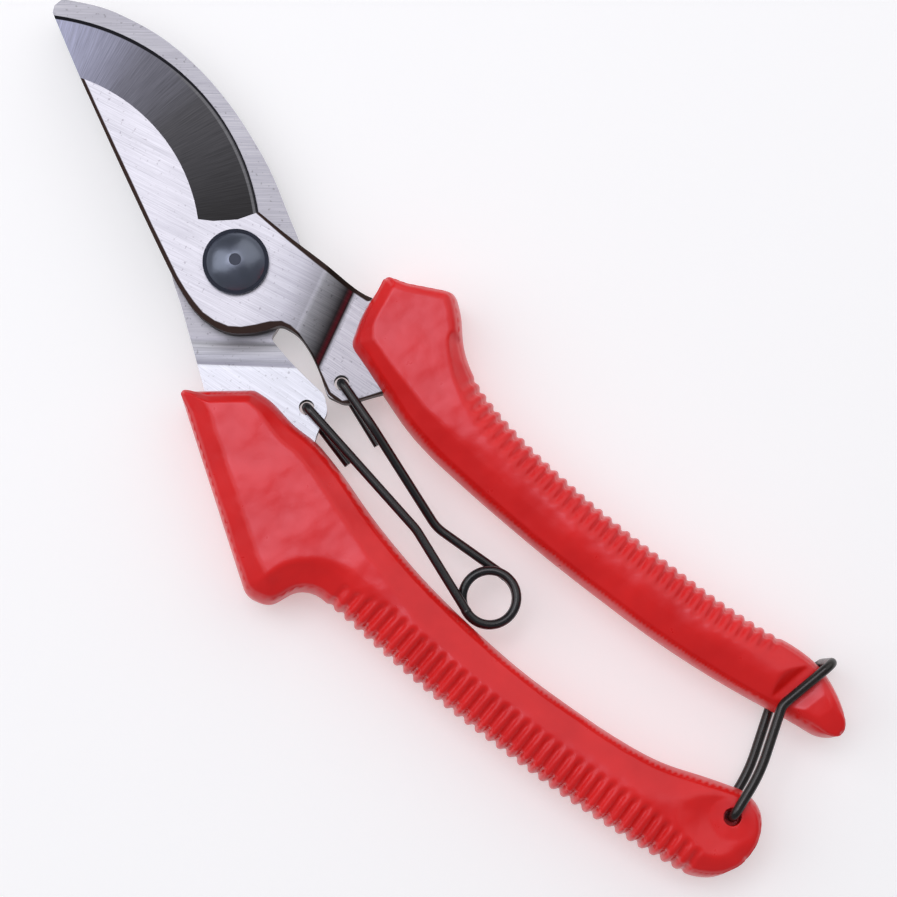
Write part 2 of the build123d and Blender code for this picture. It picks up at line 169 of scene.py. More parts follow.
def mix(tree, fac, a, b, blend="MIX"):
    """Colour a blended with colour b; each is a plain colour or a socket."""
    m = tree.nodes.new("ShaderNodeMix")
    m.data_type = "RGBA"
    m.blend_type = blend
    if isinstance(fac, float):
        m.inputs["Factor"].default_value = fac
    else:
        tree.links.new(fac, m.inputs["Factor"])
    for socket, v in ((m.inputs["A"], a), (m.inputs["B"], b)):
        if isinstance(v, tuple):
            socket.default_value = (*v, 1.0)
        else:
            tree.links.new(v, socket)
    return m.outputs["Result"]


def math_node(tree, op, a, b=None, clamp=False):
    """One Math node; a and b are numbers or sockets."""
    m = tree.nodes.new("ShaderNodeMath")
    m.operation = op
    m.use_clamp = clamp
    for socket, v in ((m.inputs[0], a), (m.inputs[1], b)):
        if v is None:
            continue
        if isinstance(v, (int, float)):
            socket.default_value = v
        else:
            tree.links.new(v, socket)
    return m.outputs[0]


def bump(tree, height, strength, distance, before=None):
    """Bump by a height that spans distance metres, on top of an earlier bump."""
    b = tree.nodes.new("ShaderNodeBump")
    b.inputs["Strength"].default_value = strength
    b.inputs["Distance"].default_value = distance
    tree.links.new(height, b.inputs["Height"])
    if before is not None:
        tree.links.new(before, b.inputs["Normal"])
    return b.outputs["Normal"]


def from_pivot(tree):
    """Object position measured from the pivot axis, in mm, without height."""
    tc = tree.nodes.new("ShaderNodeTexCoord")
    m = tree.nodes.new("ShaderNodeMapping")
    m.vector_type = "POINT"
    m.inputs["Location"].default_value = (-PX / MM, -PY / MM, 0)
    m.inputs["Scale"].default_value = (1 / MM, 1 / MM, 0)
    tree.links.new(tc.outputs["Object"], m.inputs["Vector"])
    return m.outputs["Vector"]


def vec(tree, op, a, b=None, scale=None):
    """One Vector Math node; gives its number for dot products and distances."""
    v = tree.nodes.new("ShaderNodeVectorMath")
    v.operation = op
    for socket, value in ((v.inputs[0], a), (v.inputs[1], b)):
        if value is None:
            continue
        if isinstance(value, tuple):
            socket.default_value = value
        else:
            tree.links.new(value, socket)
    if scale is not None:
        tree.links.new(scale, v.inputs["Scale"])
    return v.outputs["Value" if op in ("DOT_PRODUCT", "DISTANCE") else "Vector"]


def shade_band_gap(tree, segments):
    """Distance in mm from the inner border of a painted shade band; each corner point carries the
    band's width.
    """
    here = from_pivot(tree)
    best = None
    for (x0, y0, w0), (x1, y1, w1) in segments:
        run = (x1 - x0, y1 - y0, 0)
        size = run[0] ** 2 + run[1] ** 2
        off = vec(tree, "SUBTRACT", here, (x0, y0, 0))
        part = vec(tree, "DOT_PRODUCT", off, (run[0] / size, run[1] / size, 0))
        part = math_node(tree, "MULTIPLY", part, 1.0, clamp=True)
        near = vec(tree, "SCALE", run, scale=part)
        width = span(tree, part, w0, w1)
        gap = math_node(tree, "SUBTRACT", vec(tree, "DISTANCE", off, near), width)
        best = gap if best is None else math_node(tree, "MINIMUM", best, gap)
    return best


def fall(tree, value, low, high):
    """1 below low, 0 above high, smooth between."""
    m = tree.nodes.new("ShaderNodeMapRange")
    m.interpolation_type = "SMOOTHSTEP"
    m.inputs["From Min"].default_value = low
    m.inputs["From Max"].default_value = high
    m.inputs["To Min"].default_value = 1.0
    m.inputs["To Max"].default_value = 0.0
    tree.links.new(value, m.inputs["Value"])
    return m.outputs["Result"]


# painted shade round the cutting blade, a dark band for its seen side wall and the shadow beside
# it: corner points from the pivot in mm, with band widths
EDGE_SHADE = [
    [
        (1.9, 47.2, 0.05), (1.4, 45.6, 0.5), (-3.6, 29.1, 0.7), (-7.2, 16.8, 0.7),
        (-10.3, 5.4, 0.75), (-10.9, 2.4, 0.8), (-11.3, -0.4, 0.9), (-11.5, -3.0, 1.0),
        (-11.0, -5.8, 1.15), (-9.8, -8.6, 1.3), (-7.9, -10.7, 1.45), (-5.6, -12.2, 1.5),
        (-3.2, -13.3, 1.35), (-1.6, -14.1, 0.95), (-0.7, -15.3, 0.6), (-0.3, -17.3, 0.4),
        (-0.7, -21.6, 0.3), (-2.0, -26.0, 0.3), (-2.9, -29.0, 0.3), (-2.4, -31.8, 0.4),
        (0.4, -33.6, 0.4), (5.4, -35.8, 0.4),
    ],
    [
        (9.3, 4.3, 0.55), (10.4, -2.6, 0.75), (11.6, -9.2, 0.85), (12.9, -16.0, 0.8),
        (14.0, -20.4, 0.7),
    ],
]
EDGE_SHADE_SEGMENTS = [pair for line in EDGE_SHADE for pair in zip(line, line[1:])]
EDGE_SHADE_COLOUR = (0.022, 0.014, 0.012)


# ---------------------------------------------------------------- steel
def brushed(
    name, angle_deg, dark, light, roughness, lines=5200.0, along=90.0, depth=0.000012,
    bend=None, rim=False,
):
    """Ground steel: fine lines run at angle_deg between a dark and a light tone.

    bend is (direction, colour stops) for the painted shade and reflection towards a bend, rim draws
    the painted shade band round the blade's outline.
    """
    m, t, p = material(name)
    a = math.radians(-angle_deg)
    fine = noise(t, stretched(t, (along, lines, along), a), detail=4.0, rough=0.7)
    broad = noise(t, stretched(t, (along * 0.5, lines * 0.17, along), a, (0.3, 0.1, 0)), detail=3.0)
    cloud = noise(t, stretched(t, (90, 90, 90)), detail=2.0)
    specks = noise(t, stretched(t, (1500, 1500, 1500)), detail=1.0)
    both = math_node(
        t, "ADD", math_node(t, "MULTIPLY", fine, 0.78), math_node(t, "MULTIPLY", broad, 0.22)
    )
    tone = ramp(t, both, [(0.3, dark), (0.68, light)])
    tone = mix(t, span(t, cloud, 0.0, 0.22), tone, tuple(c * 0.72 for c in dark))
    pits = ramp(t, specks, [(0.25, (0.35, 0.33, 0.33)), (0.33, (1, 1, 1))])
    tone = mix(t, 0.5, tone, pits, "MULTIPLY")
    # painted shade and reflection towards the bend
    if bend:
        way, stops = bend
        per_mm = (way[0] / BEND_SPAN, way[1] / BEND_SPAN, 0)
        reach = vec(t, "DOT_PRODUCT", from_pivot(t), per_mm)
        tone = mix(t, 1.0, tone, ramp(t, reach, stops), "MULTIPLY")
    if rim:
        # painted shade: a dark band along the blade's outline for its seen side wall and the shadow
        # beside it
        gap = math_node(t, "ADD", shade_band_gap(t, EDGE_SHADE_SEGMENTS), span(t, cloud, -0.1, 0.1))
        edge = fall(t, gap, -0.08, 0.12)
        tone = mix(t, edge, tone, EDGE_SHADE_COLOUR)
    t.links.new(tone, p.inputs["Base Color"])
    p.inputs["Metallic"].default_value = 1.0
    t.links.new(span(t, fine, roughness - 0.08, roughness + 0.1), p.inputs["Roughness"])
    t.links.new(bump(t, both, 0.5, depth), p.inputs["Normal"])
    return m


# painted shade and reflection on the way to each bend: how much darker the face gets, by distance
# from the pivot over BEND_SPAN
BLADE_BEND_SHADE = (BLADE_BEND_WAY, [
    (0.15, (1, 1, 1)), (0.36, (0.80, 0.80, 0.82)), (0.495, (0.48, 0.48, 0.49)),
    # a lighter band of painted highlight, then black lines of painted shadow at the step with a
    # dark red line between, a painted reflection of the red grip
    (0.525, (0.92, 0.92, 0.93)), (0.60, (0.50, 0.50, 0.50)), (0.675, (0.07, 0.06, 0.06)),
    (0.70, (0.22, 0.03, 0.04)), (0.715, (0.05, 0.03, 0.03)), (0.735, (0.9, 0.9, 0.92)),
])
# the hook's face: painted light across its bend, painted shade before and after it
HOOK_BEND_SHADE = (HOOK_BEND_WAY, [
    (0.40, (0.42, 0.42, 0.42)), (0.465, (0.42, 0.42, 0.43)), (0.50, (1.0, 1.0, 1.0)),
    (0.57, (0.95, 0.95, 1.0)), (0.61, (0.42, 0.42, 0.46)), (0.63, (0.45, 0.45, 0.45)),
])
steel_blade = brushed(
    "steel_blade", -68.5, (0.30, 0.30, 0.33), (0.60, 0.60, 0.64), 0.40, bend=BLADE_BEND_SHADE, rim=True
)
steel_hook = brushed(
    "steel_hook", -41.5, (0.50, 0.50, 0.56), (0.94, 0.94, 1.0), 0.40, bend=HOOK_BEND_SHADE
)
steel_tab = brushed("steel_tab", -76.0, (0.20, 0.20, 0.22), (0.50, 0.49, 0.53), 0.38, rim=True)
steel_low_tab = brushed("steel_low_tab", -76.0, (0.34, 0.35, 0.38), (0.64, 0.66, 0.71), 0.38)
steel_back = brushed("steel_back", -68.5, (0.34, 0.34, 0.37), (0.62, 0.62, 0.66), 0.42)


def bevel_steel():
    """Ground bevel with radial grinding lines; its dark tone, lighter and bluer towards the tip, is
    a painted reflection.
    """
    m, t, p = material("steel_bevel")
    tc = t.nodes.new("ShaderNodeTexCoord")
    sep = t.nodes.new("ShaderNodeSeparateXYZ")
    t.links.new(tc.outputs["Object"], sep.inputs[0])
    dx = math_node(t, "SUBTRACT", sep.outputs["X"], PX + EDGE_CENTRE[0] * MM)
    dy = math_node(t, "SUBTRACT", sep.outputs["Y"], PY + EDGE_CENTRE[1] * MM)
    turn = math_node(t, "ARCTAN2", dy, dx)
    squares = [math_node(t, "MULTIPLY", d, d) for d in (dx, dy)]
    far = math_node(t, "SQRT", math_node(t, "ADD", *squares))
    comb = t.nodes.new("ShaderNodeCombineXYZ")
    t.links.new(math_node(t, "MULTIPLY", turn, 190.0), comb.inputs["X"])
    t.links.new(math_node(t, "MULTIPLY", far, 110.0), comb.inputs["Y"])
    lines = noise(t, comb.outputs[0], scale=1.0, detail=4.0, rough=0.7)
    # -32 degrees at the heel, +41 degrees at the tip
    place = math_node(t, "MULTIPLY", math_node(t, "ADD", turn, 0.55), 0.8, clamp=True)
    # painted reflection: dark at the heel, lighter and bluer at the tip
    reflection_heel_to_tip = ramp(
        t, place,
        [
            (0.0, (0.030, 0.029, 0.031)), (0.42, (0.075, 0.074, 0.082)),
            (0.68, (0.17, 0.17, 0.21)), (1.0, (0.50, 0.51, 0.68)),
        ],
    )
    # depth inside the cutting edge, mm
    inside = math_node(t, "MULTIPLY", math_node(t, "SUBTRACT", EDGE_R * MM, far), 1 / MM)
    # a light line beside the edge on the heel half: a honed strip, its lightness a painted
    # highlight
    heel_half = fall(t, turn, 0.0, 0.3)
    honed_highlight = fall(t, math_node(t, "ABSOLUTE", math_node(t, "SUBTRACT", inside, 0.75)), 0.18, 0.3)
    reflection_heel_to_tip = mix(t, math_node(t, "MULTIPLY", honed_highlight, heel_half), reflection_heel_to_tip, (0.14, 0.14, 0.15))
    # painted shadow: a dark line along the edge, widest near the tip, for the blade's shadow on the
    # hook
    line = span(t, fall(t, turn, -0.3, 0.45), 0.72, 0.3)
    edge_shadow = fall(t, math_node(t, "SUBTRACT", inside, line), -0.06, 0.06)
    grain = ramp(t, lines, [(0.25, (0.55, 0.55, 0.55)), (0.75, (1.6, 1.6, 1.6))])
    tone = mix(t, edge_shadow, mix(t, 0.75, reflection_heel_to_tip, grain, "MULTIPLY"), (0.012, 0.012, 0.016))
    t.links.new(tone, p.inputs["Base Color"])
    p.inputs["Metallic"].default_value = 0.85
    t.links.new(span(t, lines, 0.32, 0.5), p.inputs["Roughness"])
    t.links.new(bump(t, lines, 0.4, 0.00001), p.inputs["Normal"])
    return m


steel_bevel = bevel_steel()


def wall_tone(name, colour, roughness=0.45, metallic=0.6):
    """Tone for the blanks' cut walls; the near-black tones given for the blade's walls and the
    spring holes are painted shade.
    """
    m, t, p = material(name)
    n1 = noise(t, stretched(t, (500, 500, 2600)), detail=4.0, rough=0.7)
    low = tuple(c * 0.55 for c in colour)
    high = tuple(c * 1.8 for c in colour)
    tone = ramp(t, n1, [(0.3, low), (0.75, high)])
    t.links.new(tone, p.inputs["Base Color"])
    p.inputs["Metallic"].default_value = metallic
    t.links.new(span(t, n1, roughness - 0.1, roughness + 0.15), p.inputs["Roughness"])
    t.links.new(bump(t, n1, 0.35, 0.00004), p.inputs["Normal"])
    return m


# painted shade: the cutting blade's walls are dark for the shade on them; the hook's walls keep a
# plain steel grey
painted_shade_wall = wall_tone("blade_wall", (0.035, 0.026, 0.023))
# painted shade: the spring holes' walls near black, for the shade inside them
painted_hole_shade = wall_tone("painted_hole_shade", (0.008, 0.007, 0.007), 0.6, 0.0)
grey_wall = wall_tone("hook_wall", (0.30, 0.29, 0.29), 0.4, 0.9)


def wire(name, colour, worn, roughness):
    """Black drawn wire, lighter where its skin is worn."""
    m, t, p = material(name)
    n1 = noise(t, stretched(t, (700, 260, 700)), detail=4.0, rough=0.65)
    n2 = noise(t, stretched(t, (2600, 2600, 2600)), detail=2.0)
    tone = ramp(t, n1, [(0.35, colour), (0.62, tuple(c * 1.5 for c in colour)), (0.74, worn)])
    t.links.new(tone, p.inputs["Base Color"])
    p.inputs["IOR"].default_value = 1.5
    t.links.new(span(t, n1, roughness - 0.08, roughness + 0.14), p.inputs["Roughness"])
    t.links.new(bump(t, n2, 0.25, 0.00002), p.inputs["Normal"])
    return m


spring_wire = wire("spring_wire", (0.006, 0.006, 0.007), (0.018, 0.017, 0.018), 0.22)
latch_wire = wire("latch_wire", (0.010, 0.008, 0.007), (0.036, 0.026, 0.020), 0.24)


def blued(name, ior):
    """Blued steel; a higher ior gives a stronger sheen."""
    m, t, p = material(name)
    n1 = noise(t, stretched(t, (420, 420, 420)), detail=3.0)
    n2 = noise(t, stretched(t, (2400, 2400, 2400)), detail=2.0)
    tone = ramp(t, n1, [(0.3, (0.005, 0.006, 0.009)), (0.7, (0.012, 0.014, 0.024))])
    t.links.new(tone, p.inputs["Base Color"])
    p.inputs["IOR"].default_value = ior
    p.inputs["Specular Tint"].default_value = (0.72, 0.80, 1.0, 1.0)
    t.links.new(span(t, n1, 0.24, 0.38), p.inputs["Roughness"])
    normal = bump(t, n1, 0.25, 0.00025)
    t.links.new(bump(t, n2, 0.3, 0.00002, normal), p.inputs["Normal"])
    return m


bolt_metal = blued("blued_steel", 2.8)
# weaker-sheen copies of the blued steel for the flat annulus and the centre disc: painted shade
# that keeps the overhead lamp's reflection off them
bolt_rim = blued("blued_rim", 1.25)
bolt_dim_centre = blued("blued_dim_centre", 1.45)


def red_plastic():
    """Glossy moulded red, slightly wavy like a dipped or moulded skin."""
    m, t, p = material("red_grip")
    wave = noise(t, stretched(t, (110, 110, 110)), detail=2.0, rough=0.45)
    ripple = noise(t, stretched(t, (420, 420, 420)), detail=3.0, rough=0.5)
    grain = noise(t, stretched(t, (2600, 2600, 2600)), detail=2.0)
    tone = ramp(t, wave, [(0.25, (0.74, 0.009, 0.007)), (0.75, (0.88, 0.016, 0.013))])
    tone = mix(t, span(t, ripple, 0.0, 0.18), tone, (0.5, 0.005, 0.004))
    t.links.new(tone, p.inputs["Base Color"])
    t.links.new(span(t, ripple, 0.24, 0.36), p.inputs["Roughness"])
    p.inputs["Specular IOR Level"].default_value = 0.54
    p.inputs["Specular Tint"].default_value = (1.0, 0.86, 1.0, 1.0)
    p.inputs["Subsurface Weight"].default_value = 0.06
    p.inputs["Subsurface Radius"].default_value = (1.0, 0.12, 0.08)
    p.inputs["Subsurface Scale"].default_value = 0.0015
    normal = bump(t, wave, 0.8, 0.0009)
    normal = bump(t, ripple, 0.25, 0.00012, normal)
    t.links.new(bump(t, grain, 0.12, 0.00001, normal), p.inputs["Normal"])
    return m


red = red_plastic()


# ---------------------------------------------------------------- CAD nodes that stay
def paint(node, materials, rule):
    """Each face gets the material that rule(normal, centre in mm from the pivot) picks."""
    data = frame["nodes"][node].data
    data.materials.clear()
    for m in materials:
        data.materials.append(m)
    for f in data.polygons:
        x, y, z = f.center
        chosen = rule(f.normal, (x - PX) / MM, (y - PY) / MM, (z - PZ) / MM)
        f.material_index = materials.index(chosen)


def in_hole(x, y, hole):
    return math.hypot(x - hole[0], y - hole[1]) < 2


def blade_rule(n, x, y, z):
    if abs(n.z) < 0.5:
        return painted_hole_shade if in_hole(x, y, BLADE_SPRING_HOLE) else painted_shade_wall
    if n.z < 0:
        return steel_back
    far = math.hypot(x - EDGE_CENTRE[0], y - EDGE_CENTRE[1])
    if 0.9 < n.z < 0.985 and far > BEVEL_R and z > 0.1 and y > 3:
        return steel_bevel
    if BLADE_BEND_WAY[0] * x + BLADE_BEND_WAY[1] * y > BLADE_BEND_END:
        return steel_tab
    return steel_blade


def hook_rule(n, x, y, z):
    if abs(n.z) < 0.5:
        return painted_hole_shade if in_hole(x, y, HOOK_SPRING_HOLE) else grey_wall
    if HOOK_BEND_WAY[0] * x + HOOK_BEND_WAY[1] * y > HOOK_BEND_END:
        return steel_low_tab
    return steel_hook


def bolt_rule(n, x, y, z):
    far = math.hypot(x, y)
    # painted shade: the flat annulus and the centre disc take the dimmer copies
    if n.z > 0.9 and far > 5.2:
        return bolt_rim
    return bolt_dim_centre if far < 1.15 and z > 3 else bolt_metal


blade_materials = [steel_blade, steel_bevel, painted_shade_wall, steel_back, steel_tab, painted_hole_shade]
paint("cutting_blade", blade_materials, blade_rule)
paint("hook_blade", [steel_hook, grey_wall, steel_low_tab, painted_hole_shade], hook_rule)
paint("pivot_bolt", [bolt_metal, bolt_rim, bolt_dim_centre], bolt_rule)
for node, only in (
    ("pivot_washer", bolt_metal), ("pivot_nut", bolt_metal), ("spring_hook_arm", spring_wire),
    ("spring_blade_arm", spring_wire), ("wire_latch", latch_wire),
):
    paint(node, [only], lambda n, x, y, z: only)


# ---------------------------------------------------------------- grips
# each grip is a row of closed sections from its jaw end to its tail, in mm from the pivot
ACROSS = 64  # points across each face of a section
UPRIGHT = 6  # points up each side wall, between the faces
PER_RIB = 12  # sections in each rib
DROP = 2.7  # how much lower the grip's edge is than its flat top
BARREL = 1.1  # how far the walls lean in above and below the parting plane
LATCH_MOUTH_R = 1.6


def lengths(curve):
    """Length along a curve up to each of its points."""
    return np.concatenate([[0], np.cumsum(np.linalg.norm(np.diff(curve, axis=0), axis=1))])


def along_curve(curve, along, at):
    """Points of a curve at the lengths in at."""
    return np.column_stack([np.interp(at, along, curve[:, k]) for k in (0, 1)])


def rounded(points):
    """Dense closed outline in mm through the tangent arcs of the corner points."""
    out = []
    n = len(points)
    for i in range(n):
        a = np.array(points[i - 1][:2], float)
        b = np.array(points[i][:2], float)
        c = np.array(points[(i + 1) % n][:2], float)
        ru, rv = np.linalg.norm(a - b), np.linalg.norm(c - b)
        u, v = (a - b) / ru, (c - b) / rv
        turn = math.pi - math.acos(max(-1, min(1, float(u @ v))))
        reach = 0.49 * min(ru, rv)
        if len(points[i]) > 2:
            reach = min(reach, points[i][2] * math.tan(turn / 2))
        p, q = b + u * reach, b + v * reach
        for k in range(15):
            s = k / 14
            out.append((1 - s) ** 2 * p + 2 * s * (1 - s) * b + s * s * q)
    out = np.array(out)
    loop = np.vstack([out, out[:1]])
    along = lengths(loop)
    total = along[-1]
    return along_curve(loop, along, np.linspace(0, total, int(total / 0.12), endpoint=False))


def stretch_of(loop, start, end, forward_way):
    """The part of a closed outline from the point nearest start to the one nearest end."""
    i = int(np.argmin(np.hypot(*(loop - start).T)))
    j = int(np.argmin(np.hypot(*(loop - end).T)))
    n = len(loop)
    if forward_way:
        index = np.arange(i, i + (j - i) % n + 1) % n
    else:
        index = np.arange(i, i - (i - j) % n - 1, -1) % n
    return loop[index]


def nearest_length(curve, along, point):
    """Length along a curve at its point nearest to the one given."""
    return along[int(np.argmin(np.hypot(*(curve - point).T)))]


def away(points, curve):
    """Distance from each point to a dense curve."""
    best = np.full(len(points), 1e9)
    thin = curve[::2]
    for k in range(0, len(points), 4000):
        d = points[k:k + 4000, None, :] - thin[None, :, :]
        best[k:k + 4000] = np.sqrt((d * d).sum(2).min(1))
    return best


def soft_min(values, k):
    """Smooth minimum; k is how far the crease is rounded, mm."""
    stack = np.stack(values)
    low = stack.min(0)
    return low - k * np.log(np.exp(-(stack - low) / k).sum(0))


def plan(outer, inner, pairs, ribs):
    """Each section's ends on the outer and inner curves, and its place along the outer one.

    pairs are points of the two curves that face each other. Also gives where the ribs start and
    end along the outer curve, and their pitch.
    """
    so, si = lengths(outer), lengths(inner)
    keys_o = [0.0] + [nearest_length(outer, so, np.array(a)) for a, b in pairs] + [so[-1]]
    keys_i = [0.0] + [nearest_length(inner, si, np.array(b)) for a, b in pairs] + [si[-1]]
    rib_a = nearest_length(outer, so, np.array(ribs["first"]))
    rib_b = nearest_length(outer, so, np.array(ribs["last"]))
    count = round((rib_b - rib_a) / ribs["pitch"])
    head = np.linspace(0, rib_a, int(rib_a / 0.42), endpoint=False)
    body = np.linspace(rib_a, rib_b, count * PER_RIB, endpoint=False)
    tail = np.linspace(rib_b, so[-1], int((so[-1] - rib_b) / 0.3))
    s = np.concatenate([head, body, tail])
    t = np.interp(s, keys_o, keys_i)
    outer_ends = along_curve(outer, so, s)
    inner_ends = along_curve(inner, si, t)
    return s, outer_ends, inner_ends, rib_a, rib_b, (rib_b - rib_a) / count


def rib_grooves(s, rib_a, rib_b, pitch, full_reach):
    """Each section's share of the full groove depth, and how far in its groove reaches."""
    phase = (s - rib_a) / pitch
    inside = (s > rib_a) & (s < rib_b)
    groove = np.where(inside, (0.5 - 0.5 * np.cos(2 * np.pi * phase)) ** 1.4, 0.0)
    lead = np.clip(np.minimum(s - rib_a, rib_b - s) / (2.0 * pitch), 0, 1)
    groove = groove * (0.45 + 0.55 * lead)
    reach = np.interp(
        s, [rib_a, rib_a + 4 * pitch, rib_b - 5 * pitch, rib_b],
        [full_reach * 0.62, full_reach, full_reach, full_reach * 0.7],
    )
    return groove, reach


def rings(top, side_way, d_out, d_in, width):
    """Closed sections: top from outer to inner, inner wall, bottom back, outer wall."""
    rows, cols = top.shape[:2]
    bottom = top.copy()
    bottom[:, :, 2] = -bottom[:, :, 2]
    steps = np.linspace(0, 1, UPRIGHT + 2)[1:-1]
    up = steps[None, :, None]
    inner_wall = top[:, -1:, :] + (bottom[:, -1:, :] - top[:, -1:, :]) * up
    outer_wall = bottom[:, :1, :] + (top[:, :1, :] - bottom[:, :1, :]) * up
    tuck = BARREL * np.clip(1 - d_out / 5.0, 0, 1).reshape(rows, cols)[:, :, None]
    tuck_in = BARREL * np.clip(1 - d_in / 5.0, 0, 1).reshape(rows, cols)[:, :, None]
    for half in (top, bottom):
        half[:, :, :2] += side_way * (tuck - tuck_in)
    curve = BARREL * (2 * steps - 1)[None, :, None] ** 2
    taper = np.clip(width / 4.0, 0, 1)[:, None, None]
    outer_wall[:, :, :2] += side_way * curve * taper
    inner_wall[:, :, :2] -= side_way * curve * taper
    return np.concatenate([top, inner_wall, bottom[:, ::-1, :], outer_wall], axis=1)


def ring_mesh(name, ring):
    """Skin over the sections; the first and last close to an upright line with no stray faces."""
    rows, per = ring.shape[:2]
    number = np.arange(rows * per).reshape(rows, per)
    back = ACROSS + UPRIGHT  # where the bottom starts in a ring
    wall_in = np.arange(ACROSS, back)
    wall_out = np.arange(back + ACROSS, per)
    for r in (0, rows - 1):
        number[r, :ACROSS] = number[r, 0]
        number[r, back:back + ACROSS] = number[r, back]
        number[r, wall_out] = number[r, wall_in[::-1]]
    used, compact = np.unique(number, return_inverse=True)
    compact = compact.reshape(rows, per)
    a, b = compact[:-1], compact[1:]
    quads = np.stack([a, np.roll(a, -1, axis=1), np.roll(b, -1, axis=1), b], axis=2)
    faces = []
    for q in quads.reshape(-1, 4).tolist():
        f = [q[k] for k in range(4) if q[k] != q[k - 1]]
        if len(f) > 2:
            faces.append(f)
    verts = [world(*p) for p in ring.reshape(-1, 3)[used].tolist()]
    data = bpy.data.meshes.new(name)
    data.from_pydata(verts, [], faces)
    bm = bmesh.new()
    bm.from_mesh(data)
    bmesh.ops.recalc_face_normals(bm, faces=bm.faces)
    for f in bm.faces:
        f.smooth = True
    bm.to_mesh(data)
    bm.free()
    return data


def cut_away(o, cut):
    """Subtracts the object cut from o for good."""
    modifier = o.modifiers.new("hole", "BOOLEAN")
    modifier.operation = "DIFFERENCE"
    modifier.solver = "MANIFOLD"
    modifier.object = cut
    dg = bpy.context.evaluated_depsgraph_get()
    done = bpy.data.meshes.new_from_object(o.evaluated_get(dg))
    o.modifiers.remove(modifier)
    o.data = done
    bpy.data.objects.remove(cut)


def build_grip(name, points, start, end, forward_way, pairs, ribs, height):
    """A grip from its outline: start and end part it into the ribbed outer and the inner curve."""
    loop = rounded(points)
    outer = stretch_of(loop, np.array(start), np.array(end), forward_way)
    inner = stretch_of(loop, np.array(start), np.array(end), not forward_way)
    s, outer_ends, inner_ends, rib_a, rib_b, pitch = plan(outer, inner, pairs, ribs)
    # points crowd towards both ends of each section
    x = np.linspace(0, 1, ACROSS)
    v = x - 0.62 * np.sin(2 * np.pi * x) / (2 * np.pi)
    across = inner_ends - outer_ends
    xy = (outer_ends[:, None, :] + v[None, :, None] * across[:, None, :]).reshape(-1, 2)
    d_out = away(xy, outer)
    d_in = away(xy, inner)
    groove, reach = rib_grooves(s, rib_a, rib_b, pitch, ribs["reach"])
    depth = np.repeat(groove, ACROSS) * ribs["depth"]
    fade = np.clip((np.repeat(reach, ACROSS) - d_out) / ribs["fade"], 0, 1)
    fade = fade * fade * (3 - 2 * fade)
    z = height(xy, d_out, d_in, outer, inner) - depth * fade * 0.8
    width = np.linalg.norm(across, axis=1)
    normal = across / np.maximum(width, 1e-6)[:, None]
    shift = depth * np.clip(1 - d_out / 1.6, 0, 1)
    xy = xy + np.repeat(normal, ACROSS, axis=0) * shift[:, None]
    top = np.column_stack([xy, z]).reshape(len(s), ACROSS, 3)
    data = ring_mesh(name, rings(top, normal[:, None, :], d_out, d_in, width))
    data.materials.append(red)
    o = bpy.data.objects.new(name, data)
    bpy.context.scene.collection.objects.link(o)
    return o


def rim(d, radius=0.9):
    """Height lost close to an edge, so the wall turns over smoothly."""
    k = np.clip(1 - d / radius, 0, 1)
    return 0.5 * k * k * radius


LOWER_OUTLINE = [
    (-12.6, -19.6, 2.2), (-23.0, -10.8, 1.3), (-38.5, -47.0, 4.0), (-36.4, -51.0, 3.6),
    (-31.0, -52.0), (-28.7, -54.6), (-27.9, -60.1), (-26.9, -70.0), (-25.1, -83.8),
    (-22.2, -98.6), (-19.1, -113.3), (-14.9, -128.0), (-12.0, -136.6), (-8.8, -140.0),
    (-3.6, -141.2), (2.8, -139.8), (5.8, -136.6), (5.9, -132.4), (2.3, -125.8),
    (-2.3, -118.4), (-5.4, -109.5), (-7.9, -99.7), (-10.1, -89.8), (-11.6, -77.9),
    (-12.5, -66.0), (-12.1, -52.1), (-10.7, -41.0), (-10.4, -34.0), (-11.5, -29.5),
    (-11.6, -23.0),
]
UPPER_OUTLINE = [
    (5.2, -28.9), (4.2, -36.0), (3.2, -43.5), (3.3, -50.0), (4.6, -62.0), (7.2, -79.9),
    (11.2, -99.8), (13.8, -109.7), (16.9, -119.4), (19.9, -127.3), (22.0, -134.0),
    (24.8, -136.4), (28.2, -134.6), (30.0, -130.2), (31.0, -125.1), (30.2, -119.7),
    (28.2, -114.2), (25.2, -103.5), (20.9, -82.0), (19.4, -72.0), (18.2, -61.0),
    (18.0, -52.0), (18.5, -45.0), (20.7, -39.0), (24.6, -34.2), (26.5, -30.3, 2.4),
    (18.5, -19.9, 1.5), (11.0, -21.9), (5.6, -25.0, 2.6),
]


def lower_height(xy, d_out, d_in, outer, inner):
    """Half height of the lower grip: flat top, sloped flanks and a thin pad round the latch."""
    y = xy[:, 1]
    # the slanted top edge is the first stretch of the inner curve
    slant = inner[inner[:, 1] > -19.4]
    flank = inner[inner[:, 1] <= -19.4]
    d_slant = away(xy, slant)
    d_flank = away(xy, flank)
    w_out = np.interp(-y, [10, 45, 56, 70, 100, 125, 140], [4.0, 4.4, 7.2, 7.0, 7.0, 6.5, 5.0])
    w_in = np.interp(
        -y, [20, 23, 30, 60, 72, 95, 110, 125, 140],
        [2.4, 2.8, 4.0, 5.4, 6.6, 6.8, 6.4, 5.0, 4.5],
    )
    base = HALF - DROP
    crease = np.interp(-y, [20, 66, 90, 105, 130], [0.10, 0.12, 0.22, 0.6, 0.9])
    half = soft_min(
        [
            np.full(len(xy), HALF), base + DROP * d_out / w_out,
            base + DROP * d_slant / 2.3, base + DROP * d_flank / w_in,
        ],
        crease,
    )
    half = half - rim(d_out) - rim(d_in)
    # thin pad round the latch hole
    r = np.hypot(xy[:, 0] - LATCH[0], xy[:, 1] - LATCH[1])
    half = soft_min([half, 5.35 + np.clip(r - 4.0, 0, None) ** 1.2 * 0.2], 0.3)
    return np.minimum(half, HALF)


